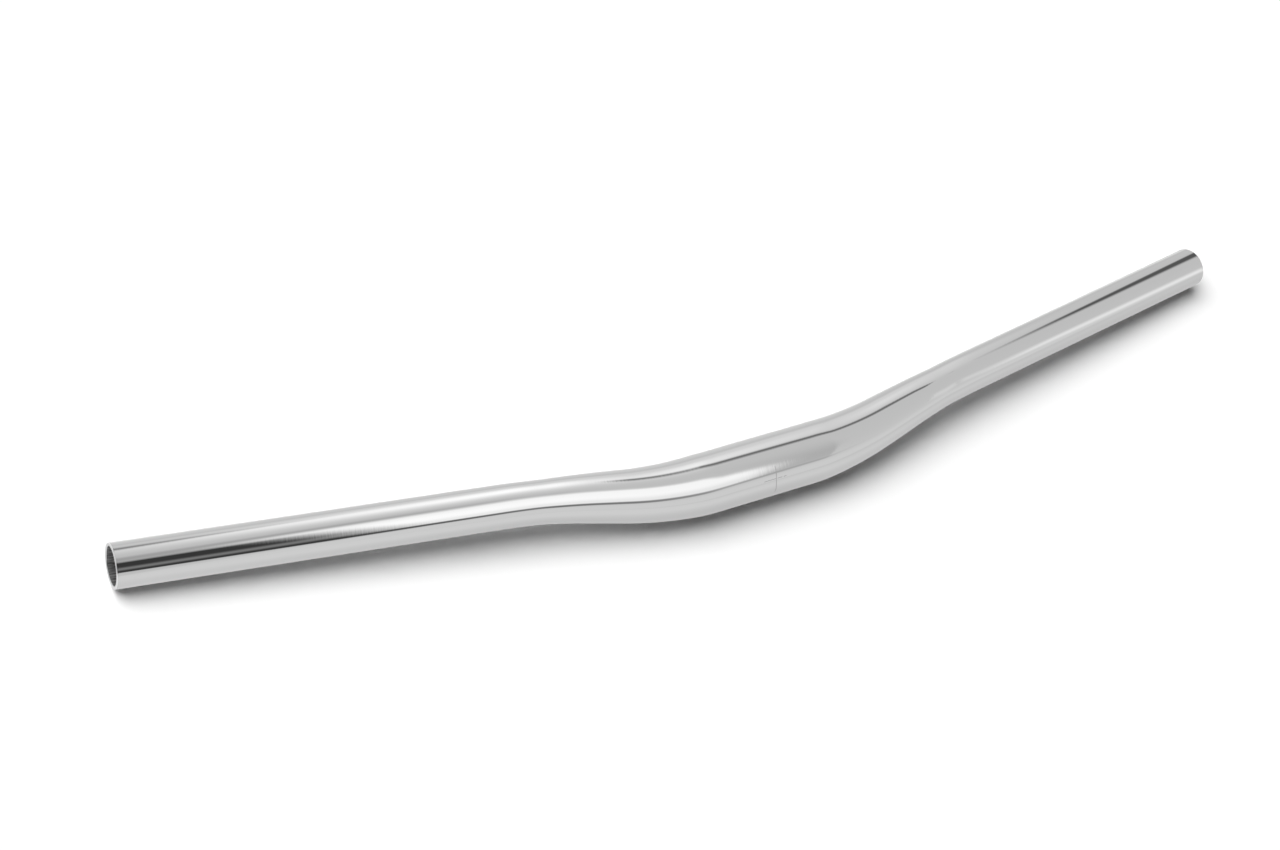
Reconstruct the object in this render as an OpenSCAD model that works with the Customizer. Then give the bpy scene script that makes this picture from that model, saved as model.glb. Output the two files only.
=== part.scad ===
// One-piece riser handlebar for a bicycle, drawn in one length of butted aluminium tube.
// It lies as it comes to rest on a table, on the middle of its clamp length and on both tips.
// X runs along the clamp, Y towards the rider, Z up, and the origin is the middle of the clamp.

/* [Bar] */
// Overall width, from tip to tip
bar_width = 680; // [560:1:820]
// Sweep of the grips back towards the rider
backsweep = 9; // [5:0.5:14]
// Sweep of the grips upwards
upsweep = 3; // [0:0.5:7]

/* [Clamp] */
// Diameter where the stem clamps on
clamp_d = 31.8; // [25.4:0.1:35]
// Straight length in the middle for the stem
clamp_length = 57; // [40:1:80]
// Wall of the tube in the clamp
clamp_wall = 2.4; // [1.8:0.1:3.5]

/* [Grips] */
// Diameter that grips and levers slide onto
grip_d = 22.2; // [20:0.1:25]
// Wall of the tube in the grips
grip_wall = 1.6; // [1.2:0.1:2.5]
// Edge broken on the inner and outer rim of each tip
tip_chamfer = 0.4; // [0.1:0.1:0.6]

/* [Bends] */
// Angle by which the tube leaves the clamp
rise_bend = 11.8; // [9:0.1:18]
// Lean of that first bend from straight up, back towards the rider
rise_lean = 35; // [15:1:50]
// Radius of the first bend, to the middle of the tube
rise_radius = 250; // [150:5:400]
// Straight length between the two bends
link_length = 22; // [5:1:60]
// Radius of the second bend, to the middle of the tube
sweep_radius = 400; // [200:5:600]

/* [Taper] */
// Distance along the tube from the middle of the bar to where it starts to narrow
taper_start = 32; // [20:1:45]
// Length of tube over which it narrows from clamp to grip
taper_length = 100; // [60:1:125]
// Length over which each end of the cone is blended into the straight tube
taper_blend = 10; // [4:1:25]

/* [Facets] */
// Sides of the swaged length
swage_sides = 40; // [24:4:48]
// Longest step between two of its sections
swage_step = 6.5; // [6:0.5:12]

/* [Hidden] */
$fn = 96;

// How far the swaged length is tucked into the straight tubes it grows out of
tuck_depth = 0.4;
// How far it stays under their skin there
tuck_skin = 0.02;
// Halvings used to find the roll at which the bar lies level
level_tries = 26;

// Directions of the tube on the bicycle: along the clamp, through the rise and along the grip
clamp_dir = [1, 0, 0];
rise_dir = [cos(rise_bend), sin(rise_bend) * sin(rise_lean), sin(rise_bend) * cos(rise_lean)];
grip_dir = [cos(upsweep) * cos(backsweep), cos(upsweep) * sin(backsweep), sin(upsweep)];

// Turn between the rise and the grip
sweep_bend = angle_between(rise_dir, grip_dir);
// Lengths of the two bends along the middle of the tube
rise_arc = rise_radius * rise_bend * PI / 180;
sweep_arc = sweep_radius * sweep_bend * PI / 180;

// Distances along the tube, from the middle of the bar to the start of each stretch
rise_from = clamp_length / 2;
link_from = rise_from + rise_arc;
sweep_from = link_from + link_length;
grip_from = sweep_from + sweep_arc;

// Where each stretch starts, as a place on the bicycle
rise_start = rise_from * clamp_dir;
link_start = rise_start + bend_step(clamp_dir, rise_dir, rise_radius, rise_bend);
sweep_start = link_start + link_length * rise_dir;
grip_start = sweep_start + bend_step(rise_dir, grip_dir, sweep_radius, sweep_bend);
// The grip takes up what is left of the width
grip_length = (bar_width / 2 - grip_start.x - grip_d / 2 * sin(angle_between(clamp_dir, grip_dir)))
    / grip_dir.x;
tip = grip_start + grip_length * grip_dir;

// Roll about the clamp at which both tips come down to the table
lying_roll = level_roll(0, 90, level_tries);

function unit(v) = v / norm(v);
function angle_between(a, b) = acos(a * b);

// Step made by a bend of this radius that has turned by an angle on its way from one direction to another
function bend_step(from, to, radius, turned) =
    radius * (sin(turned) * from + (1 - cos(turned)) * bend_inward(from, to));
function bend_way(from, to, turned) = cos(turned) * from + sin(turned) * bend_inward(from, to);
function bend_inward(from, to) = unit(to - (to * from) * from);

// Middle of the tube at a distance along it
function tube_middle(along) =
    along < rise_from ? along * clamp_dir :
    along < link_from ? rise_start
        + bend_step(clamp_dir, rise_dir, rise_radius, rise_turn(along)) :
    along < sweep_from ? link_start + (along - link_from) * rise_dir :
    along < grip_from ? sweep_start
        + bend_step(rise_dir, grip_dir, sweep_radius, sweep_turn(along)) :
    grip_start + (along - grip_from) * grip_dir;

// Direction of the tube at a distance along it
function tube_way(along) =
    along < rise_from ? clamp_dir :
    along < link_from ? bend_way(clamp_dir, rise_dir, rise_turn(along)) :
    along < sweep_from ? rise_dir :
    along < grip_from ? bend_way(rise_dir, grip_dir, sweep_turn(along)) :
    grip_dir;

function rise_turn(along) = rise_bend * (along - rise_from) / rise_arc;
function sweep_turn(along) = sweep_bend * (along - sweep_from) / sweep_arc;

// Share of the narrowing that is done at a distance along the tube: a straight cone
// whose two ends are blended by parabolas, so that the skin has no crease
function narrowed(along) =
    let (gone = min(max(along - taper_start, 0), taper_length))
    let (slope = 1 / (taper_length - taper_blend))
    gone < taper_blend ? slope * gone * gone / (2 * taper_blend) :
    gone < taper_length - taper_blend ? slope * (gone - taper_blend / 2) :
    1 - slope * (taper_length - gone) * (taper_length - gone) / (2 * taper_blend);

function between(a, b, share) = a + (b - a) * share;
function outer_r(along) = between(clamp_d, grip_d, narrowed(along)) / 2;
function wall(along) = between(clamp_wall, grip_wall, narrowed(along));
function bore_r(along) = outer_r(along) - wall(along);

// Place or direction on the bicycle, rolled back about the clamp
function rolled(v, roll) =
    [v.x, v.y * cos(roll) + v.z * sin(roll), v.z * cos(roll) - v.y * sin(roll)];

// Height of a tip's lowest point over the clamp's lowest point at a roll
function tip_gap(roll) =
    let (middle = rolled(tip - tip_chamfer * grip_dir, roll))
    let (way = rolled(grip_dir, roll))
    middle.z - grip_d / 2 * sqrt(1 - way.z * way.z) + clamp_d / 2;

function level_roll(low, high, tries) =
    let (half = (low + high) / 2)
    tries == 0 ? half :
    tip_gap(half) > 0 ? level_roll(half, high, tries - 1) :
    level_roll(low, half, tries - 1);

// One round section of the tube, square to its middle line
function section_ring(along, radius) =
    let (way = tube_way(along))
    let (across = unit(cross([0, 0, 1], way)))
    let (up = cross(way, across))
    [for (i = [0:swage_sides - 1])
        let (turn = 360 * i / swage_sides)
        tube_middle(along) + radius * (cos(turn) * across + sin(turn) * up)];

// Faces between two rings that follow each other in the list of points
function band_faces(first, second) =
    [for (i = [0:swage_sides - 1])
        let (j = (i + 1) % swage_sides)
        each [
            [first + i, second + i, second + j],
            [first + i, second + j, first + j]
        ]];

// A straight length of tube along Z, with both rims of its far end broken
module tube(d, wall, length, chamfer) {
    r = d / 2;
    bore = r - wall;
    rotate_extrude()
        polygon([
            [bore, 0],
            [r, 0],
            [r, length - chamfer],
            [r - chamfer, length],
            [bore + chamfer, length],
            [bore, length - chamfer]
        ]);
}

// The bent and swaged length between clamp and grip: its outer skin out along the tube,
// its bore back again, and a ring of wall at each end
module swage() {
    from = rise_from - tuck_depth;
    to = grip_from + tuck_depth;
    steps = ceil((to - from) / swage_step);
    // Flats of the bore stay outside the true bore of the straight tubes
    flat = cos(180 / swage_sides);
    places = [for (i = [0:steps]) between(from, to, i / steps)];
    outer = [for (s = places) section_ring(s, outer_r(s) - tuck_skin)];
    inner = [for (i = [steps:-1:0]) section_ring(places[i], (bore_r(places[i]) + tuck_skin) / flat)];
    rings = concat(outer, inner);
    count = len(rings);
    polyhedron(
        points = [for (ring = rings) each ring],
        faces = [for (k = [0:count - 1])
            each band_faces(k * swage_sides, ((k + 1) % count) * swage_sides)],
        convexity = 6
    );
}

// The straight grip, from the end of the last bend to the tip
module grip() {
    pitch = acos(grip_dir.z);
    heading = atan2(grip_dir.y, grip_dir.x);
    translate(grip_start)
        rotate([0, pitch, heading])
            tube(grip_d, grip_wall, grip_length, tip_chamfer);
}

// The straight middle that the stem closes round
module clamp() {
    rotate([0, 90, 0])
        rotate_extrude()
            translate([clamp_d / 2 - clamp_wall, -clamp_length / 2])
                square([clamp_wall, clamp_length]);
}

// The whole bar in one piece, lying on clamp and tips
module handlebar() {
    color("silver")
        rotate([-lying_roll, 0, 0]) {
            clamp();
            for (side = [0, 1])
                mirror([side, 0, 0]) {
                    swage();
                    grip();
                }
        }
}

handlebar();
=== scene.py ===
# %% [markdown]
# # A polished handlebar on a white table
#
# The real object is one length of aluminium tube. It is drawn round, thinned towards its ends,
# bent twice on each side and polished until it mirrors the room. So this lesson is about two
# things: a surface that is exact enough to carry a clean mirror image, and a studio that is
# worth mirroring. The packed CAD model gives the place and the size, and comes first.

# %% The fixed frame
import math

import bpy
import numpy as np
from mathutils import Matrix, Vector


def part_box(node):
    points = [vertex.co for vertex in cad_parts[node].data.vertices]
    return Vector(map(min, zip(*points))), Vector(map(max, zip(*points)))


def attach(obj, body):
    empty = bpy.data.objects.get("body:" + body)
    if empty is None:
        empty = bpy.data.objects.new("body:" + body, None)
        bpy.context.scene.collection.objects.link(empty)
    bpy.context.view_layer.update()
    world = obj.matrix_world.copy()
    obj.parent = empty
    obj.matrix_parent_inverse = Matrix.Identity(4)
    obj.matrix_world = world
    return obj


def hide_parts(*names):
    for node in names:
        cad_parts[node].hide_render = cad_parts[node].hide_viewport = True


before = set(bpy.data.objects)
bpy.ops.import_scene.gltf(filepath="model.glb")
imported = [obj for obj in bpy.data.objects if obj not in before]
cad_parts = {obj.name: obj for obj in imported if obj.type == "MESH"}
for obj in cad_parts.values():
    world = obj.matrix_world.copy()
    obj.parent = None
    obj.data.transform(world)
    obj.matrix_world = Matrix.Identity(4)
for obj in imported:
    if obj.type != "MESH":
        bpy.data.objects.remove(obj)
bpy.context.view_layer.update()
floor_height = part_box("handlebar")[0].z

# %% [markdown]
# ## The camera
#
# The camera was found by laying the outline of the CAD tube over the outline in the photograph.
# It looks down on the table at about fifty degrees, from the front and from the rider's right,
# and it is rolled, so that the bar climbs across the picture. A matrix would say the same, but a
# place, a point to look at and a roll say it in numbers that can be read.

# %% The camera
picture_width = 1280
focal_pixels = 2821.75
sensor_width = 36.0
camera_place = Vector((-0.767107, -0.535738, 1.117987))
camera_aim = Vector((-0.049031, 0.042417, 0.0))
camera_roll = math.radians(28.21)

camera_data = bpy.data.cameras.new("camera")
camera_data.sensor_width = sensor_width
camera_data.lens = focal_pixels * sensor_width / picture_width
camera = bpy.data.objects.new("camera", camera_data)
level_turn = (camera_aim - camera_place).to_track_quat("-Z", "Y").to_matrix()
camera_turn = level_turn @ Matrix.Rotation(camera_roll, 3, "Z")
camera.matrix_world = Matrix.Translation(camera_place) @ camera_turn.to_4x4()
bpy.context.scene.collection.objects.link(camera)
bpy.context.scene.camera = camera
print("lens", round(camera_data.lens, 2), "right", [round(v, 4) for v in camera_turn.col[0]])

# %% [markdown]
# ## The middle line of the tube
#
# A bent tube is a circle carried along a line. Each side of the line is three straight lengths
# joined by two arcs. A curve object could carry the circle, but a mirror finish shows every small
# error of its handles, so the line is worked out exactly: each stretch adds as much of its own
# step as the distance has reached, and the sum of the five steps is the place.

# %% Sizes of the bar, in metres and radians
bar_half_width = 0.340
backsweep = math.radians(9)
upsweep = math.radians(3)
clamp_radius = 0.0159
clamp_wall = 0.0024
grip_radius = 0.0111
grip_wall = 0.0016
clamp_half = 0.0285
rise_bend = math.radians(11.8)
rise_lean = math.radians(35)
rise_radius = 0.250
link_length = 0.022
sweep_radius = 0.400
taper_start = 0.032
taper_length = 0.100
taper_blend = 0.010
rim_round = 0.0004
lying_roll = math.radians(34.7436)

clamp_way = np.array([1.0, 0.0, 0.0])
rise_way = np.array([
    math.cos(rise_bend),
    math.sin(rise_bend) * math.sin(rise_lean),
    math.sin(rise_bend) * math.cos(rise_lean),
])
grip_way = np.array([
    math.cos(upsweep) * math.cos(backsweep),
    math.cos(upsweep) * math.sin(backsweep),
    math.sin(upsweep),
])
print("rise points", rise_way.round(3), "and grip points", grip_way.round(3))

# %% One side of the middle line
sweep_bend = math.acos(float(rise_way @ grip_way))
rise_end = clamp_half + rise_radius * rise_bend
link_end = rise_end + link_length
sweep_end = link_end + sweep_radius * sweep_bend


def inward(start_way, end_way):
    """Side of a bend that its centre lies on: end direction less its share of the start direction."""
    side = end_way - (end_way @ start_way) * start_way
    return side / np.linalg.norm(side)


def bend_step(start_way, end_way, radius, turned):
    """Step made by an arc: radius times (sine of the turn ahead, one less its cosine inward)."""
    ahead = np.sin(turned)[:, None] * start_way
    aside = (1 - np.cos(turned))[:, None] * inward(start_way, end_way)
    return radius * (ahead + aside)


def half_line(along):
    """Place and direction at a distance along one side: the sum of clamp, rise, link, sweep and grip.

    A straight adds its clipped length times its direction, an arc adds its bend_step, and the
    direction is the start direction turned inward by what the arc has turned so far.
    """
    rise_turn = np.clip((along - clamp_half) / rise_radius, 0, rise_bend)
    sweep_turn = np.clip((along - link_end) / sweep_radius, 0, sweep_bend)
    place = np.clip(along, None, clamp_half)[:, None] * clamp_way
    place = place + bend_step(clamp_way, rise_way, rise_radius, rise_turn)
    place = place + np.clip(along - rise_end, 0, link_length)[:, None] * rise_way
    place = place + bend_step(rise_way, grip_way, sweep_radius, sweep_turn)
    place = place + np.clip(along - sweep_end, 0, None)[:, None] * grip_way
    in_rise = np.cos(rise_turn)[:, None] * clamp_way
    in_rise = in_rise + np.sin(rise_turn)[:, None] * inward(clamp_way, rise_way)
    in_sweep = np.cos(sweep_turn)[:, None] * rise_way
    in_sweep = in_sweep + np.sin(sweep_turn)[:, None] * inward(rise_way, grip_way)
    way = np.where((along < link_end)[:, None], in_rise, in_sweep)
    return place, way


before_grip = half_line(np.array([sweep_end]))[0][0]
tip_lean = math.acos(float(grip_way @ clamp_way))
grip_length = (bar_half_width - before_grip[0] - grip_radius * math.sin(tip_lean)) / grip_way[0]
half_length = sweep_end + grip_length
print("grip", round(grip_length * 1000, 2), "mm, half the tube", round(half_length * 1000, 2), "mm")

# %% [markdown]
# ## Lying on the table
#
# On the bicycle the middle line is symmetric, left to right, so the far side is the near side
# with its X turned over. Then the whole line rolls back about the clamp, to where the bar comes
# to rest on its clamp and both tips, which is how the CAD part lies. The roll is worked into the
# line, not given to the object, so that the object stays unturned at the origin.

# %% The whole line, rolled to its rest
roll_turn = np.array([
    [1.0, 0.0, 0.0],
    [0.0, math.cos(lying_roll), math.sin(lying_roll)],
    [0.0, -math.sin(lying_roll), math.cos(lying_roll)],
])


def whole_line(along):
    """Place, direction and the two directions across it, at a signed distance from the middle.

    The far side mirrors X. Across is the cross product of up and the direction, and the third
    direction is square to both, so that the rings don't twist from one to the next.
    """
    place, way = half_line(np.abs(along))
    sign = np.where(along < 0, -1.0, 1.0)
    place = place * np.stack([sign, np.ones_like(sign), np.ones_like(sign)], axis=1)
    way = way * np.stack([np.ones_like(sign), sign, sign], axis=1)
    across = np.cross([0.0, 0.0, 1.0], way)
    across = across / np.linalg.norm(across, axis=1)[:, None]
    over = np.cross(way, across)
    return place @ roll_turn.T, way @ roll_turn.T, across @ roll_turn.T, over @ roll_turn.T


tip_place = whole_line(np.array([half_length]))[0][0]
print("middle of the left tip at", (tip_place * 1000).round(1), "mm")

# %% [markdown]
# ## How the tube narrows
#
# Only the clamp has the full diameter, because that is what the stem holds. The grips are thinner,
# for the hands, and so is their wall, which saves weight. A cone between two cylinders would show
# a kink in every mirror image at both of its ends, so a parabola leads into the slope and out.

# %% Radius along the tube
def narrowed(along):
    """Share of the taper that is done: a straight slope with a parabola into it and out of it."""
    gone = np.clip(np.abs(along) - taper_start, 0, taper_length)
    left = taper_length - gone
    slope = 1 / (taper_length - taper_blend)
    middle = slope * (gone - taper_blend / 2)
    share = np.where(gone < taper_blend, slope * gone**2 / (2 * taper_blend), middle)
    return np.where(left < taper_blend, 1 - slope * left**2 / (2 * taper_blend), share)


def skin_radius(along):
    """Outer radius: from the clamp's to the grip's by the share of the taper."""
    return clamp_radius + (grip_radius - clamp_radius) * narrowed(along)


def bore_radius(along):
    """Inner radius: the outer radius less a wall that thins with the taper."""
    return skin_radius(along) - (clamp_wall + (grip_wall - clamp_wall) * narrowed(along))


half_way = taper_start + taper_length / 2
print("outer radius half way down the taper", round(float(skin_radius(half_way)) * 1000, 2), "mm")

# %% [markdown]
# ## The walk round the wall
#
# A tube with a wall is a ring in section along its length as well: out along the skin, over the
# rounded rim, back through the bore and over the other rim. Walked once round like that, with a
# circle at every step, it is one closed grid without a seam or a pole, which two cylinders and a
# Bevel modifier would not be. The steps along the skin are short, because they carry the mirror
# image, and those of the bore are longer. Each rim has rings of its own, and one ring held close
# on either side of a rounding keeps the smooth shading on it.

# %% The profile: distance along the tube, radius and finish
ring_sides = 128
skin_step = 0.0022
bore_step = 0.006
round_steps = 5
ring_hold = 0.00012
polished, cut, drawn = 0, 1, 2


def rim_round_off(radius, direction, tip):
    """A quarter circle from the wall to the end face, as distances and radii.

    The direction is +1 for an outer edge, whose radius shrinks towards the face, and -1 for an
    inner one. The angle goes in even steps from the wall, where it is 0, to the face.
    """
    angle = np.linspace(0, math.pi / 2, round_steps)
    along = tip - rim_round * (1 - np.sin(angle))
    return along, radius - direction * rim_round * (1 - np.cos(angle))


def half_profile():
    """Skin from the middle to a tip, its rim, and the bore back to the middle.

    Gives the distances, the radii, and the finish of the strip from each ring to the next.
    """
    held_tip = half_length - rim_round - ring_hold
    bore_tip = grip_radius - grip_wall
    skin_along = np.linspace(0, held_tip, round(half_length / skin_step))
    bore_along = np.linspace(held_tip, 0, round(half_length / bore_step))
    outer_along, outer = rim_round_off(grip_radius, 1, half_length)
    inner_along, inner = rim_round_off(bore_tip, -1, half_length)
    face = np.array([grip_radius - rim_round - ring_hold, bore_tip + rim_round + ring_hold])
    face_along = np.full(len(face), half_length)
    along = np.concatenate([skin_along, outer_along, face_along, inner_along[::-1], bore_along])
    radius = np.concatenate([
        skin_radius(skin_along), outer, face, inner[::-1], bore_radius(bore_along)])
    strips = [len(skin_along), len(outer) + len(face) + len(inner) - 1, len(bore_along)]
    return along, radius, np.repeat([polished, cut, drawn], strips)


half_along, half_radius, half_finish = half_profile()
profile_along = np.concatenate([half_along, -half_along[-2:0:-1]])
profile_radius = np.concatenate([half_radius, half_radius[-2:0:-1]])
profile_finish = np.concatenate([half_finish, half_finish[::-1]])
print(len(profile_along), "rings of", ring_sides, "and strips by finish", np.bincount(profile_finish))

# %% [markdown]
# ## From arrays to a mesh
#
# The grid becomes faces by counting: each corner has a right neighbour round the ring and an
# upper one along the walk, and both counts wrap. Every corner also remembers where it is on the
# tube, as a distance along and a direction round. A pattern on Object coordinates would run
# straight through the bends, and one on this attribute follows the tube through them.

# %% The tube as one closed grid
def closed_grid(rows, columns):
    """Corner numbers of the four-sided faces of a grid whose rows and columns both wrap."""
    row, column = np.meshgrid(np.arange(rows), np.arange(columns), indexing="ij")
    next_row, next_column = (row + 1) % rows, (column + 1) % columns
    corners = [(row, column), (row, next_column), (next_row, next_column), (next_row, column)]
    return np.stack([r * columns + c for r, c in corners], axis=-1).reshape(-1, 4)


def tube_mesh(name):
    """Mesh of the profile carried along the line: place plus radius times (cosine across, sine over)."""
    place, _, across, over = whole_line(profile_along)
    turn = np.arange(ring_sides) * 2 * math.pi / ring_sides
    out = np.cos(turn)[None, :, None] * across[:, None] + np.sin(turn)[None, :, None] * over[:, None]
    points = place[:, None] + profile_radius[:, None, None] * out
    faces = closed_grid(len(profile_along), ring_sides)
    mesh = bpy.data.meshes.new(name)
    mesh.from_pydata(points.reshape(-1, 3), [], faces.tolist())
    mesh.update()
    spot = np.empty((len(profile_along), ring_sides, 3), np.float32)
    spot[..., 0] = profile_along[:, None]
    spot[..., 1] = np.cos(turn)
    spot[..., 2] = np.sin(turn)
    mesh.attributes.new("spot", "FLOAT_VECTOR", "POINT").data.foreach_set("vector", spot.ravel())
    mesh.polygons.foreach_set("use_smooth", np.ones(len(faces), bool))
    mesh.polygons.foreach_set("material_index", np.repeat(profile_finish, ring_sides))
    return mesh


bar = bpy.data.objects.new("handlebar_tube", tube_mesh("handlebar_tube"))
bpy.context.scene.collection.objects.link(bar)
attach(bar, "root")
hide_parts("handlebar")
print(len(bar.data.vertices), "corners,", 2 * len(bar.data.polygons), "triangles")

# %% [markdown]
# ## Writing materials as sums
#
# A finish is a calculation at every point of a surface. Blender draws it as boxes and cords, but
# a formula reads better. One small class stands for a value that comes out of a node, and
# adding or multiplying such values adds the Math nodes behind them.

# %% Node arithmetic
class Value:
    """What comes out of a node. Arithmetic on it adds Math nodes, also with a plain number first."""

    def __init__(self, bench, socket):
        self.bench, self.socket = bench, socket

    def math(self, operation, *values):
        """A Math node with that operation on those values."""
        return self.bench.node("ShaderNodeMath", {"operation": operation}, dict(enumerate(values)))

    def __add__(self, other):
        return self.math("ADD", self, other)

    def __sub__(self, other):
        return self.math("SUBTRACT", self, other)

    def __rsub__(self, other):
        return self.math("SUBTRACT", other, self)

    def __mul__(self, other):
        return self.math("MULTIPLY", self, other)

    def __truediv__(self, other):
        return self.math("DIVIDE", self, other)

    def __abs__(self):
        return self.math("ABSOLUTE", self)

    def at_least(self, other):
        """The larger of both."""
        return self.math("MAXIMUM", self, other)

    def at_most(self, other):
        """The smaller of both."""
        return self.math("MINIMUM", self, other)

    __radd__ = __add__
    __rmul__ = __mul__


class Bench:
    """A node tree to work on. Its one method adds any node and gives back one of its outputs."""

    def __init__(self, tree):
        self.tree = tree
        tree.nodes.clear()

    def node(self, kind, settings=None, sockets=None, output=0):
        """Adds a node of a type, makes its settings first, then fills or links its sockets."""
        made = self.tree.nodes.new(kind)
        for name, setting in (settings or {}).items():
            setattr(made, name, setting)
        for name, value in (sockets or {}).items():
            socket = made.inputs[name]
            if isinstance(value, Value):
                self.tree.links.new(value.socket, socket)
            else:
                socket.default_value = value
        return Value(self, made.outputs[output]) if made.outputs else None


operations = [name.strip("_") for name in vars(Value) if callable(getattr(Value, name))]
print("a value knows", operations[1:])

# %% [markdown]
# ## The grain of the metal
#
# A buffing wheel runs round the tube and leaves hair-fine lines across its length. They are too
# fine to see one by one, except where the edge of a dark reflection crosses them and frays. An
# image of scratches would show its pixels there, so a noise makes them: it changes quickly along
# the tube and slowly round it. A slower noise gives the slight haze of hand polishing.

# %% Grain
hairline_stretch = (900, 1.2, 1.2)
haze_stretch = (22, 1.6, 1.6)


def tube_spot(bench):
    """The place on the tube that every corner remembers: distance along, cosine and sine round."""
    return bench.node("ShaderNodeAttribute", {"attribute_name": "spot"}, output="Vector")


def stretched_noise(bench, spot, stretch, detail):
    """Noise on the tube's own coordinates, each multiplied by its share of the stretch."""
    mapped = bench.node("ShaderNodeVectorMath", {"operation": "MULTIPLY"}, {0: spot, 1: stretch})
    return bench.node("ShaderNodeTexNoise", {}, {"Vector": mapped, "Scale": 1.0, "Detail": detail})


print("hairlines about", round(1000 / hairline_stretch[0], 1), "mm apart")

# %% [markdown]
# ## Soft steps
#
# Nothing on the real bar or in its studio has a perfectly hard edge, neither a scribed line nor a
# lamp. A Color Ramp would draw a soft edge too, but its stops are set by hand on a scale from 0 to
# 1. A Map Range node with a smooth step takes the two values between which the edge lies, in
# metres or in anything else, so most of the shapes below are products of such steps.

# %% Soft steps
def ease(bench, value, start, end, low=0.0, high=1.0):
    """A soft step: low up to the start, high from the end on, and an S-shaped way between them."""
    sockets = {"Value": value, "From Min": start, "From Max": end, "To Min": low, "To Max": high}
    return bench.node("ShaderNodeMapRange", {"interpolation_type": "SMOOTHSTEP"}, sockets)


def between(bench, value, low, high, soft):
    """A band: 1 where the value is from low to high, and a soft step of that width at each side."""
    return ease(bench, value, low - soft, low) * ease(bench, value, high + soft, high)


quarters = [0.0, 0.25, 0.5, 0.75, 1.0]
print("a soft step passes", [round(t * t * (3 - 2 * t), 2) for t in quarters], "at its quarters")

# %% [markdown]
# ## The scribed mark
#
# On the front of the clamp the maker scribes a small cross, which helps to centre the bar in its
# stem. Its lines are a third of a millimetre wide. Cut in the mesh they would need many small
# faces and would disturb the mirror image round them, so they are bands in the material instead,
# rougher and darker than the skin. Their places and sizes are in metres.

# %% The centre mark
mark_width = 0.00035
mark_soft = 0.00012
mark_place = 0.0009
mark_lean = 0.0009
lean_from, lean_to = -0.0010, -0.0085
upright_foot, upright_top, upright_soft = -0.0085, 0.0062, 0.0006
dashes = [(-0.0064, 0.0004, 0.0006), (0.0018, 0.0044, 0.0004), (0.0056, 0.0070, 0.0004)]
dash_depth = 0.75
side_cosine, front_cosine = -0.2, -0.4


def separated(bench, vector):
    """The three parts of a vector, as values of their own."""
    return [bench.node("ShaderNodeSeparateXYZ", {}, {"Vector": vector}, output=o) for o in "XYZ"]


def centre_mark(bench, spot):
    """The scribed cross on the front of the clamp: 1 on its lines and 0 elsewhere.

    Along is the distance from the middle, climb the height over the front line of the clamp. The
    upright is where along is near the mark's place, which shifts a little with the climb. The
    dashes are where climb is near 0 and along lies in one of three bands.
    """
    along, back, up = separated(bench, spot)
    climb = up * clamp_radius
    front = ease(bench, back, side_cosine, front_cosine)
    half = mark_width / 2
    off_mark = along - mark_place - ease(bench, climb, lean_from, lean_to) * mark_lean
    upright = between(bench, off_mark, -half, half, mark_soft)
    upright = upright * between(bench, climb, upright_foot, upright_top, upright_soft)
    level = between(bench, climb, -half, half, mark_soft)
    left, middle, right = [between(bench, along, *dash) for dash in dashes]
    lines = upright + level * (left + middle + right) * dash_depth
    return lines.at_most(1.0) * front


print("mark", round((upright_top - upright_foot) * 1000, 1), "mm high,", len(dashes), "dashes")

# %% [markdown]
# ## Polished aluminium
#
# The skin is a mirror of one light grey. The hairlines tilt it by a small part of a degree,
# through a Bump node, and they and the haze change its roughness a little. Anisotropy would smear
# the mirror image along the bar too, but the tilt also frays its edges as in the photograph.

# %% The polished skin
skin_colour = (0.64, 0.64, 0.64)
skin_roughness = 0.025
grain_roughness = 0.02
hairline_depth = 0.0000060
mark_roughness = 0.32
mark_shade = 0.34


def new_bench(name):
    """A material of that name, and the bench of its empty node tree."""
    material = bpy.data.materials.new(name)
    material.use_nodes = True
    return material, Bench(material.node_tree)


def polished_skin():
    """Aluminium of one colour, whose roughness and tilt follow the hairlines, with the scribed cross."""
    material, bench = new_bench("polished_aluminium_skin")
    spot = tube_spot(bench)
    hairlines = stretched_noise(bench, spot, hairline_stretch, 2)
    haze = stretched_noise(bench, spot, haze_stretch, 3)
    mark = centre_mark(bench, spot)
    roughness = skin_roughness + (hairlines - 0.5) * grain_roughness + (haze - 0.5) * grain_roughness
    shade = 1 - mark * mark_shade
    tinted = bench.node("ShaderNodeVectorMath", {"operation": "SCALE"}, {0: skin_colour, "Scale": shade})
    bump = bench.node("ShaderNodeBump", {}, {
        "Strength": 1.0, "Distance": hairline_depth, "Height": hairlines})
    surface = bench.node("ShaderNodeBsdfPrincipled", {}, {
        "Base Color": tinted, "Metallic": 1.0, "Roughness": roughness + mark * mark_roughness,
        "Normal": bump})
    bench.node("ShaderNodeOutputMaterial", {}, {"Surface": surface})
    return material


bar.data.materials.append(polished_skin())
print("skin made of", len(bar.data.materials[polished].node_tree.nodes), "nodes")

# %% [markdown]
# ## The ends and the bore
#
# The polish stops at the rim. The end of the tube is faced with a cutter, so it spreads what it
# mirrors. Its grey is set lighter than the skin's, and that paints a brighter highlight on the rim.
# The bore is as the drawing left it, dull and mottled, and little light gets in. Both could share
# the skin's material with a mask, but the strips of the mesh already know their finish, and two
# small materials are easier to read.

# %% The cut rim and the drawn bore
# The rim's grey, lighter than the skin's, is a painted highlight on the rim.
rim_grey_with_painted_highlight = (0.86, 0.86, 0.86, 1)
rim_roughness = 0.28
mottle_stretch = (250, 14, 14)
mottle_contrast = 1.3
bore_grey = 0.40
bore_metallic = 0.9
bore_roughness = 0.5


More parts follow.
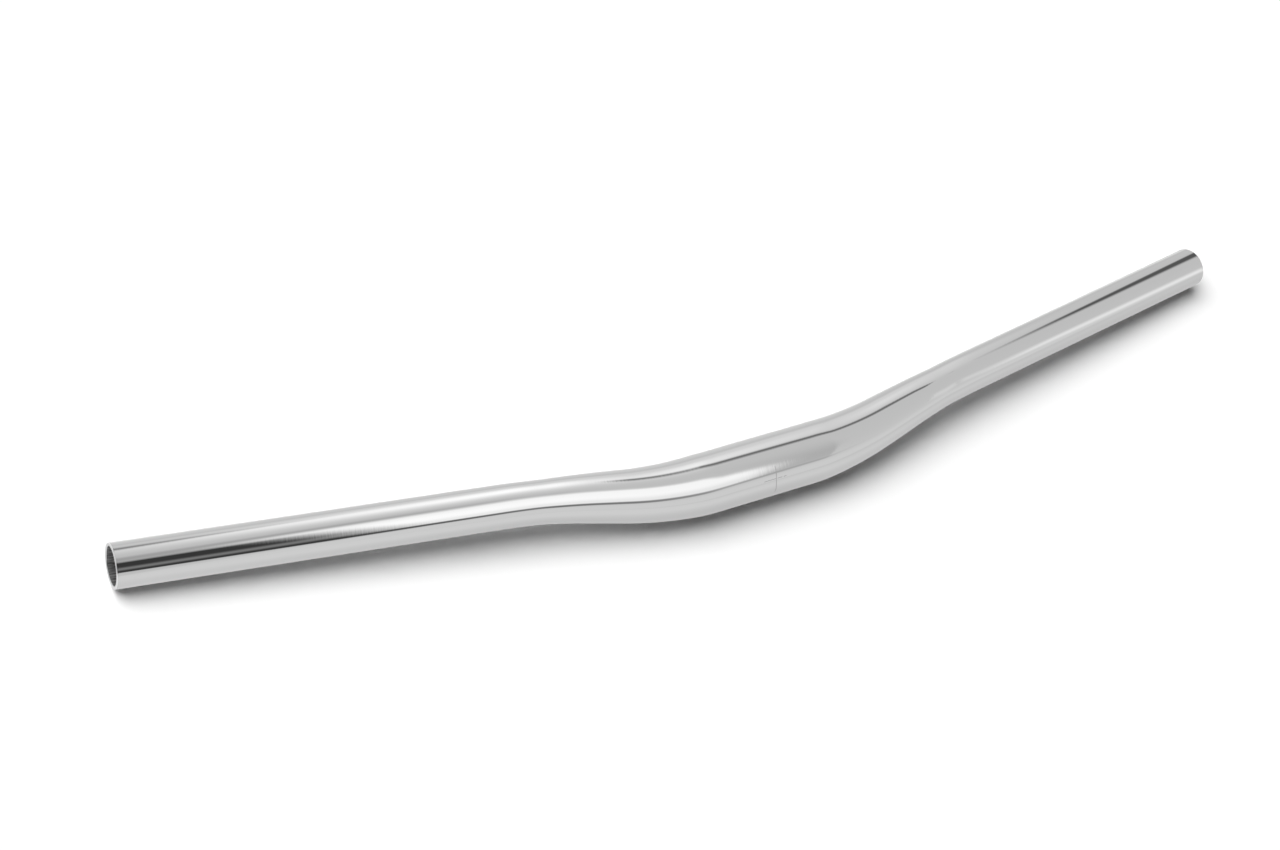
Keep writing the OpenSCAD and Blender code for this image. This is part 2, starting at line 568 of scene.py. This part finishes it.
def cut_rim():
    """The faced end of the tube: not polished, so it spreads what it mirrors; its light grey paints a
    highlight.
    """
    material, bench = new_bench("cut_aluminium_rim")
    surface = bench.node("ShaderNodeBsdfPrincipled", {}, {
        "Base Color": rim_grey_with_painted_highlight, "Metallic": 1.0, "Roughness": rim_roughness})
    bench.node("ShaderNodeOutputMaterial", {}, {"Surface": surface})
    return material


def drawn_bore():
    """The unpolished bore: dull and rough, with a mottled grey from a noise of small spots."""
    material, bench = new_bench("drawn_aluminium_bore")
    spots = stretched_noise(bench, tube_spot(bench), mottle_stretch, 2)
    grey = bore_grey + (spots - 0.5) * mottle_contrast
    tinted = bench.node("ShaderNodeCombineColor", {}, {"Red": grey, "Green": grey, "Blue": grey})
    surface = bench.node("ShaderNodeBsdfPrincipled", {}, {
        "Base Color": tinted, "Metallic": bore_metallic, "Roughness": bore_roughness})
    bench.node("ShaderNodeOutputMaterial", {}, {"Surface": surface})
    return material


bar.data.materials.append(cut_rim())
bar.data.materials.append(drawn_bore())
print("finishes", [material.name for material in bar.data.materials])

# %% [markdown]
# ## A studio on a ceiling
#
# What a polished bar looks like is what stands round it. Followed back from the photograph, every
# ray that leaves the bar upwards ends on one low ceiling, half a metre up: a leaning softbox in
# front, the glow of a second lamp behind, and the dark gaps between them. Separate lamps and
# screens would each need a place of their own. One large card that glows, seen only in mirror
# images, holds them all, and each lamp on it is a product of soft steps across straight edges.
#
# Distances on the card are counted in ceiling heights. Across runs to the right of the bar, and
# ahead runs away from the camera. A pair of numbers is where a soft step starts and where it
# ends, and a lean is the share of the other coordinate that turns an edge.

# %% The softbox in front
ceiling_height = 0.487

softbox_left, left_lean = (-0.518, -0.291), 0.168
softbox_right, right_lean = (0.507, 0.399), 0.403
softbox_corner, corner_lean = (0.300, 0.030), 0.974
softbox_top, top_lean = (0.022, -0.240), 0.075
softbox_foot = (-1.74, -1.40)
foot_shade = (-1.25, -0.62, 0.62, 1.0)
softbox_light, fade_depth = 1.09, 0.474
fade_edge = (-2.68, 0.519)


def steps(bench, value, *edges):
    """Soft steps of one value, multiplied: each edge says where its step starts and ends."""
    product = ease(bench, value, *edges[0])
    for edge in edges[1:]:
        product = product * ease(bench, value, *edge)
    return product


def softbox(bench, across, ahead, left, slant):
    """Brightness of the softbox: five soft edges, the shade over its foot and its fade multiplied.

    An edge is a soft step of one coordinate plus a share of the other, which makes it lean. The
    slant is the coordinate that the right edge and the fade have in common.
    """
    right = ease(bench, slant, *softbox_right)
    corner = ease(bench, ahead + across * corner_lean, *softbox_corner)
    top = ease(bench, ahead + across * top_lean, *softbox_top)
    foot = steps(bench, ahead, softbox_foot, foot_shade)
    fade = softbox_light - ease(bench, slant, *fade_edge) * fade_depth
    return left * right * corner * top * foot * fade


softbox_reach = [round(edge * ceiling_height, 3) for edge in softbox_left + softbox_right]
print("softbox edges at", softbox_reach, "m across")

# %% [markdown]
# ## The dark round the softbox
#
# Polished metal is known by the dark shapes in it. Above the softbox and beside it hang dim
# strips, the room to its left is nearly black but for a streak, and a dark line runs along its
# foot. Black cards would cover the lamp with hard edges. Here the dark shapes take light away from
# what is there already, so they come after the softbox.

# %% The front of the ceiling
above_edges, above_reach = [(-0.517, -0.019), (0.256, -0.007)], (0.306, -0.434)
above_depth = 0.264
beside_band, beside_edges = (0.547, 0.723, 0.127), [(-2.143, -1.253), (0.246, -0.822)]
beside_depth = 0.170
dark_edges, dark_depth = [(-0.160, -0.390), (-2.95, -2.05)], 0.93
streak_edges, streak_light = [(-1.795, -1.170), (-0.727, -1.165)], 0.28
foot_edge, heel_edge, heel_lean = (-1.42, -1.80), (-2.66, -2.18), -0.2
foot_depth = [((0.183, -0.285), 0.17), ((2.43, -0.261), 0.76)]


def front_lamp(bench, across, ahead, level):
    """The softbox added to a level, less both dim strips, times 1 less the deeper of two dark parts.

    Each dark part is a product of soft steps and a depth. One is the whole room to the left of the
    softbox, but for a streak. The other is the line along its foot, which is deeper to the left.
    """
    left = ease(bench, across + ahead * left_lean, *softbox_left)
    slant = across + ahead * right_lean
    level = level + softbox(bench, across, ahead, left, slant)

    above = steps(bench, ahead, *above_edges) * ease(bench, across, *above_reach)
    beside = between(bench, slant, *beside_band) * steps(bench, ahead, *beside_edges)
    level = level - above * above_depth - beside * beside_depth

    streak = steps(bench, ahead, *streak_edges)
    dark_side = (1 - left) * steps(bench, ahead, *dark_edges) * (dark_depth - streak * streak_light)
    dark_foot = ease(bench, ahead, *foot_edge) * ease(bench, ahead + across * heel_lean, *heel_edge)
    near, far = [ease(bench, across, *edge) * share for edge, share in foot_depth]
    return level * (1 - dark_side.at_least(dark_foot * (near + far)))


print("dark line at the foot", round((foot_edge[0] - heel_edge[1]) * ceiling_height, 2), "m wide")

# %% [markdown]
# ## The lamp behind
#
# The upper half of the tube shows a second, weaker lamp: a long glow in a wider halo, which
# points away from the camera and a little to the right. Coordinates turned to where it points
# keep its edges straight. A dim strip crosses its left side, with a thin darker line inside.

# %% The lamp behind
glow_ahead = 1.0
aside_start, aside_across, aside_ahead = 0.374, 0.837, 0.523
along_start, along_across, along_ahead = 0.216, 0.294, 0.782
glow_aside, glow_along = [(-0.882, 0.066), (0.556, -0.048)], [(-0.797, 0.037), (1.875, -0.425)]
halo_aside, halo_along = [(-1.541, -0.358), (1.138, 0.390)], [(-0.395, 0.335), (15.2, -0.912)]
glow_light, halo_light = 0.740, 0.195
strip_lean, strip_start = 0.889, 1.483
strip_edges, strip_reach, strip_depth = [(-0.330, 0.069), (1.171, -0.149)], (0.628, -0.463), 0.62
line_edges, line_reach, line_depth = [(-0.26, 0.05), (0.50, 0.04)], (0.30, -0.20), 0.24


def back_lamp(bench, across, ahead, level):
    """The glow and its halo added to a level, less the dim strip and its thin line.

    Along and aside are the ceiling's directions turned to where the glow points. Past is the
    distance behind the slanting line that the strip follows.
    """
    aside = (across - aside_start) * aside_across - (ahead - glow_ahead) * aside_ahead
    along = (across - along_start) * along_across + (ahead - glow_ahead) * along_ahead
    glow = steps(bench, aside, *glow_aside) * steps(bench, along, *glow_along)
    halo = steps(bench, aside, *halo_aside) * steps(bench, along, *halo_along)
    past = ahead - across * strip_lean - strip_start
    strip = steps(bench, past, *strip_edges) * ease(bench, across, *strip_reach)
    line = steps(bench, past, *line_edges) * ease(bench, across, *line_reach)
    lit = level + glow * glow_light + halo * halo_light
    return lit * (1 - strip * strip_depth - line * line_depth)


print("glow centred", round(aside_start * ceiling_height, 2), "m across")

# %% [markdown]
# ## The right hand side
#
# On the right, two shapes are left. A dark wedge between two slanting lines draws the dark
# streak on the far grip. A window is what the thin light line low on that grip mirrors. Its two
# sides point at the middle of the room, so a bearing, ahead divided by across, describes them.

# %% The wedge and the window
wedge_lean, wedge_start, wedge_depth = 0.859, 0.375, 0.83
wedge_ahead, wedge_upper, wedge_across = (0.46, 0.80), (-0.13, 0.12), (1.22, 1.62)
window_sides, nearest_across = [(-0.665, -0.517), (-0.320, -0.496)], 0.957
frame_lean, frame_edge = 0.92, (0.89, 0.96)
pane_light = (1.15, 1.48, 0.14, 0.33)


def side_gaps(bench, across, ahead, level):
    """A level less the wedge, plus the window, each a product of soft steps.

    The window starts at its frame and gets brighter away from it. The bearing divides by across
    only where that is large enough, so that it stays finite.
    """
    upper = across * wedge_lean - wedge_start - ahead
    wedge = ease(bench, ahead, *wedge_ahead) * ease(bench, upper, *wedge_upper)
    wedge = wedge * ease(bench, across, *wedge_across)
    window = steps(bench, ahead / across.at_least(nearest_across), *window_sides)
    from_frame = across + ahead * frame_lean
    window = window * ease(bench, from_frame, *frame_edge) * ease(bench, from_frame, *pane_light)
    return level * (1 - wedge * wedge_depth) + window


print("wedge from", round(wedge_across[0] * ceiling_height, 2), "m across")

# %% [markdown]
# ## Which ray sees what
#
# The photograph's background is pure white, so the camera sees white in every direction. A mirror
# ray sees the studio. Light that the table has scattered sees neither: the shadow beside the bar
# is deep, so nearly all light there has to come from the key lamp. Only a low glow round the
# horizon is left, which softens the shadows of the two tips. Light Path tells the rays apart, and
# its Diffuse Depth counts the scatterings.

# %% The world
horizon_reach, horizon_light = (-0.3, 0.3), (0.93, 0.85)
low_glow_height = 0.486
low_glow_strength = 1.35


def separate(bench, output):
    """X, Y and Z of a direction or a place that a Texture Coordinate output gives."""
    return separated(bench, bench.node("ShaderNodeTexCoord", {}, {}, output=output))


def light_path(bench, question):
    """The answer of the Light Path node to one question about the ray, such as Is Camera Ray."""
    return bench.node("ShaderNodeLightPath", {}, {}, output=question)


def unscattered(bench):
    """1 for rays that the table hasn't scattered, and 0 for those that it has."""
    return ease(bench, light_path(bench, "Diffuse Depth"), 0.8, 0.2)


world = bpy.data.worlds.new("studio")
world.use_nodes = True
bpy.context.scene.world = world
sky = Bench(world.node_tree)
_, facing, rising = separate(sky, "Generated")
seen = light_path(sky, "Is Camera Ray")
mirrored = light_path(sky, "Is Glossy Ray")
horizon = ease(sky, facing, *horizon_reach, *horizon_light) * unscattered(sky)
low_glow = ease(sky, rising, low_glow_height, 0.0, 0.0, low_glow_strength) * (1 - unscattered(sky))
shown = horizon * (1 - seen) + low_glow * (1 - mirrored) + seen
backdrop = sky.node("ShaderNodeBackground", {}, {"Color": (1, 1, 1, 1), "Strength": shown})
sky.node("ShaderNodeOutputWorld", {}, {"Surface": backdrop})
print("low glow up to", round(math.degrees(math.asin(low_glow_height))), "degrees over the table")

# %% [markdown]
# ## Hanging the ceiling
#
# The ceiling is one flat card, which isn't part of the object. It would
# shade the table from the key lamp and fill the camera's view, so only mirror images see it. The
# tent is the even white that the lamps are laid on, a little brighter low in front.

# %% The ceiling
ceiling_half = 30.0
tent_level = 0.79
low_front_ahead, low_front_across, low_front_light = (0.595, -4.23), (-0.473, 0.115), 0.129


def studio(bench, across, ahead):
    """Brightness of the ceiling: the tent, a little brighter low in front, changed by each lamp."""
    low_front = ease(bench, ahead, *low_front_ahead) * ease(bench, across, *low_front_across)
    level = front_lamp(bench, across, ahead, tent_level + low_front * low_front_light)
    level = back_lamp(bench, across, ahead, level)
    return side_gaps(bench, across, ahead, level)


def flat_card(name, corners, height):
    """A stage card with those corners at a height."""
    card = bpy.data.objects.new(name, bpy.data.meshes.new(name))
    card.data.from_pydata([(x, y, height) for x, y in corners], [], [(0, 1, 2, 3)])
    card.data.update()
    bpy.context.scene.collection.objects.link(card)
    return card


def mirror_only(card):
    """Leaves a card visible to mirror rays alone."""
    card.visible_camera = False
    card.visible_diffuse = False
    card.visible_shadow = False


def square(half):
    """Corners of a square round the origin."""
    return [(-half, -half), (half, -half), (half, half), (-half, half)]


ceiling = flat_card("ceiling", square(ceiling_half), ceiling_height)
mirror_only(ceiling)
material, bench = new_bench("ceiling")
x, y, _ = separate(bench, "Object")
strength = studio(bench, x / ceiling_height, y / ceiling_height) * unscattered(bench)
lit = bench.node("ShaderNodeEmission", {}, {"Color": (1, 1, 1, 1), "Strength": strength})
bench.node("ShaderNodeOutputMaterial", {}, {"Surface": lit})
ceiling.data.materials.append(material)
print("ceiling at", ceiling_height, "m, made of", len(bench.tree.nodes), "nodes")

# %% [markdown]
# ## The seam
#
# A dark seam hangs a little under the ceiling, and it is what draws the thin dark line through
# the middle of the bar. It could be one more line on the ceiling, but its mirror image shifts
# along the bar in another way than the ceiling's, so it is a card of its own. It is darkest along
# its middle, fades to its edges and narrows towards its far end.

# %% The seam
seam_height = 0.340
seam_start = Vector((0.184, 0.252))
seam_end = Vector((0.369, 0.166))
seam_reach = 0.100
seam_fade = 0.030
seam_depth = 0.80
seam_far_width = 0.5
seam_light = 0.02

seam_way = (seam_end - seam_start).normalized()
seam_length = (seam_end - seam_start).length
seam_side = Vector((seam_way.y, -seam_way.x))
seam_corners = [
    seam_start + seam_side * seam_reach - seam_way * seam_fade,
    seam_end + seam_side * seam_reach + seam_way * seam_fade,
    seam_end - seam_side * seam_reach + seam_way * seam_fade,
    seam_start - seam_side * seam_reach - seam_way * seam_fade,
]
seam = flat_card("seam", [tuple(corner) for corner in seam_corners], seam_height)
mirror_only(seam)
material, bench = new_bench("seam")
x, y, _ = separate(bench, "Object")
along = (x - seam_start.x) * seam_way.x + (y - seam_start.y) * seam_way.y
off = (x - seam_start.x) * seam_side.x + (y - seam_start.y) * seam_side.y
narrow = ease(bench, along, seam_length + seam_fade, 0.0, seam_far_width, 1.0)
band = ease(bench, abs(off) / narrow, seam_reach, 0.0) * seam_depth
ends = ease(bench, along, -seam_fade, 0.0) * ease(bench, along, seam_length + seam_fade, seam_length)
clear = bench.node("ShaderNodeBsdfTransparent", {}, {})
dusk = bench.node("ShaderNodeEmission", {}, {"Color": (1, 1, 1, 1), "Strength": seam_light})
hung = bench.node("ShaderNodeMixShader", {}, {0: band * ends, 1: clear, 2: dusk})
bench.node("ShaderNodeOutputMaterial", {}, {"Surface": hung})
seam.data.materials.append(material)
print("seam", round(seam_length, 3), "m long")

# %% [markdown]
# ## The table
#
# To the camera the table is a plain white diffuse surface, so it keeps the shadow. The lower half
# of the bar mirrors it, and noise from the lamps would show there, so a mirror ray sees a sheet
# that glows by a formula, with the bar's shadow and a pool of light painted into it. In front of
# the line on which the bar touches the table the painted shadow darkens it towards the bar, and
# behind the line a painted pool of light makes it bright.

# %% The glow of the table in mirror images, with its painted shadow and pool of light
# Sizes of the painted shadow in front of the bar and of the painted pool of light behind it.
contact_half, contact_bend = 0.023, 0.221
front_light, painted_shadow_reach, painted_shadow_depth = 0.942, (-0.081, 0.073), (-0.35, -0.10, 0.46, 0.646)
back_light, painted_pool_reach, painted_pool_gain = 0.845, (0.055, -0.035), 0.382
painted_near_pool_reach, painted_near_pool_gain = (0.044, 0.028), 0.06
contact_edge = (-0.004, 0.010)
right_reach, right_loss = (-0.05, 0.362), 0.118


def painted_table_shadow_and_light(bench, x, y):
    """Brightness for mirror rays: soft steps in the distance behind the line of contact.

    The line runs straight under the clamp and bends back with the bar on both sides. In front of
    it the glow falls towards it, as a painted shadow of the bar. Behind it a painted pool of light
    makes the glow brightest beside the bar, and it levels off further away. All of it is less to
    the right.
    """
    outwards = abs(x) - contact_half
    behind = y - outwards.at_least(0.0) * contact_bend
    # In front of the line the bar's shadow is painted into the glow; behind it, a painted pool of light.
    front = front_light - ease(bench, behind, *painted_shadow_reach) * ease(bench, x, *painted_shadow_depth)
    back = back_light + ease(bench, behind, *painted_pool_reach) * painted_pool_gain
    back = back + ease(bench, behind, *painted_near_pool_reach) * painted_near_pool_gain
    level = front + (back - front) * ease(bench, behind, *contact_edge)
    return level * (1 - ease(bench, x, *right_reach) * right_loss)


brightest = back_light + painted_pool_gain + painted_near_pool_gain
print("behind the bar the table glows from", back_light, "to", round(brightest, 3))

# %% The table
table_half = 30.0
cloth_white = 0.8

table = flat_card("table", square(table_half), floor_height)
material, bench = new_bench("white_table")
white = cloth_white + light_path(bench, "Is Camera Ray") * (1 - cloth_white)
grey = bench.node("ShaderNodeCombineColor", {}, {"Red": white, "Green": white, "Blue": white})
cloth = bench.node("ShaderNodeBsdfDiffuse", {}, {"Color": grey})
x, y, _ = separate(bench, "Object")
# What mirror rays see of the table: a glow with the bar's shadow and a pool of light painted in.
glow = bench.node("ShaderNodeEmission", {}, {"Color": (1, 1, 1, 1), "Strength": painted_table_shadow_and_light(bench, x, y)})
mirrored = light_path(bench, "Is Glossy Ray") * unscattered(bench)
surface = bench.node("ShaderNodeMixShader", {}, {0: mirrored, 1: cloth, 2: glow})
bench.node("ShaderNodeOutputMaterial", {}, {"Surface": surface})
table.data.materials.append(material)
print("table at", round(floor_height, 4), "m")

# %% [markdown]
# ## The key light
#
# The shadow in the photograph is soft, short and dark where it starts, and it falls to the front.
# Light from a very wide disc high above, leaning back and to the left, gives that: next to the
# bar most of the disc is hidden, and a few centimetres further all of it is seen. An area lamp
# would need a size and a distance, and a sun needs only its angle. The softbox that the metal
# shows is already on the ceiling, so the metal doesn't see the disc itself.

# %% The key light
key_angle = math.radians(55)
key_strength = 3.52
key_from = Vector((-0.466, 0.321, 1.0)).normalized()

key_data = bpy.data.lights.new("key", "SUN")
key_data.angle = key_angle
key_data.energy = key_strength
key = bpy.data.objects.new("key", key_data)
key.rotation_euler = key_from.to_track_quat("Z", "Y").to_euler()
key.location = key_from
key.visible_glossy = False
bpy.context.scene.collection.objects.link(key)
print("key light", round(math.degrees(math.asin(key_from.z))), "degrees above the table")

# %% [markdown]
# ## The view
#
# The picture is made as light falls, with Blender's plain Standard view.

# %% The end
bpy.context.scene.view_settings.view_transform = "Standard"
